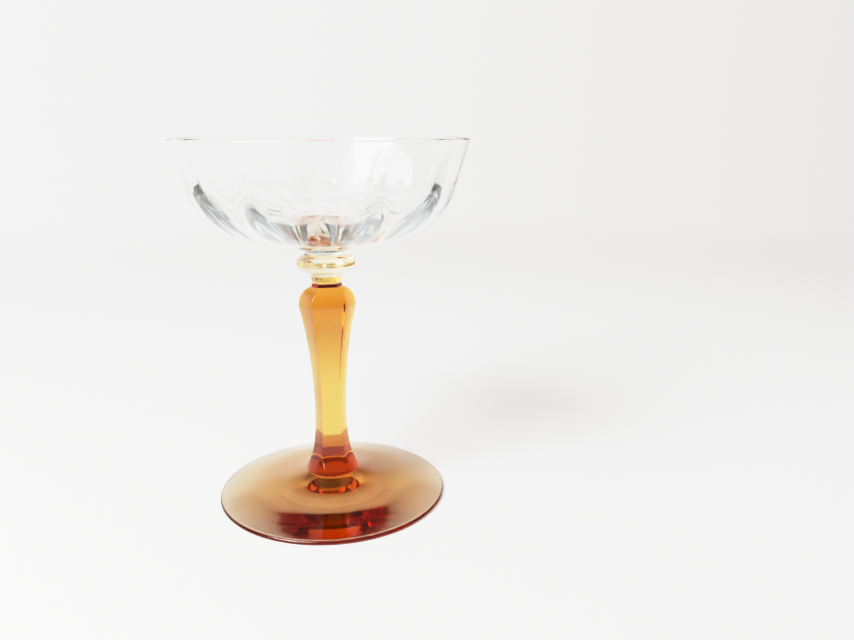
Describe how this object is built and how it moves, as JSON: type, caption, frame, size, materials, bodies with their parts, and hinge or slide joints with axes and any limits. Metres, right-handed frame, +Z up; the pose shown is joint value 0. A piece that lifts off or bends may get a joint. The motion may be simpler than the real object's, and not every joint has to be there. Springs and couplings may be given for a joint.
{
  "type": "champagne coupe",
  "caption": "Stemmed champagne saucer: a clear shallow bowl on a clear disc, with a faceted amber baluster stem and an amber foot.",
  "frame": {"origin": "centre of the foot's underside, on the surface the glass stands on", "axes": "+Z up along the glass's axis, from the foot to the rim; -Y looks out of the middle of the stem's front flat, one of its two broad ones"},
  "size_m": [0.0966, 0.0966, 0.125],
  "materials": {
    "clear_glass": "fire-polished clear glass",
    "amber_glass": "fire-polished amber glass"
  },
  "bodies": {
    "root": {"bowl": "clear_glass", "merese": "clear_glass", "stem": "amber_glass", "foot": "amber_glass"}
  },
  "joints": []
}
